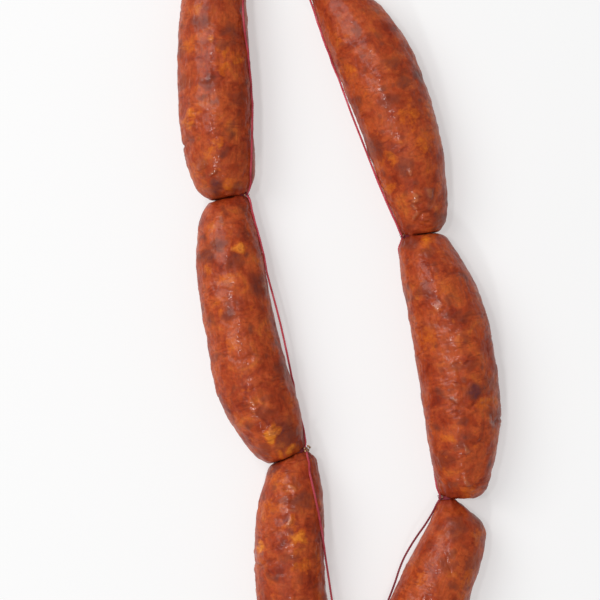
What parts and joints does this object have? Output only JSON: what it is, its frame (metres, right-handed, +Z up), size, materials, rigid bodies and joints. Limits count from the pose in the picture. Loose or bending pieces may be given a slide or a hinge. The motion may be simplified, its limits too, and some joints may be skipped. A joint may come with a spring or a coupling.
{
  "type": "string of sausage links",
  "caption": "Closed ring of cured sausage links, bowed outwards along red twine, pinched shut at a tie between neighbours, with a small knot and twine ends at the top.",
  "frame": {"origin": "middle of the ring's bounding box, on the flat surface that the ring lies on", "axes": "+Z up from the surface, +Y along the ring towards the knot, +X to the right seen from above"},
  "size_m": [0.1572, 0.3971, 0.0355],
  "materials": {
    "casing": "cured sausage in a thin natural casing, semi-gloss",
    "twine": "crimson butcher's twine, matt"
  },
  "bodies": {
    "root": {"link_1": "casing", "link_2": "casing", "link_3": "casing", "link_4": "casing", "link_5": "casing", "link_6": "casing", "tie_1": "twine", "tie_2": "twine", "tie_3": "twine", "tie_4": "twine", "tie_5": "twine", "tie_6": "twine", "tie_7": "twine", "twine": "twine", "hanging_knot": "twine", "twine_tail_1": "twine", "twine_tail_2": "twine"}
  },
  "joints": []
}
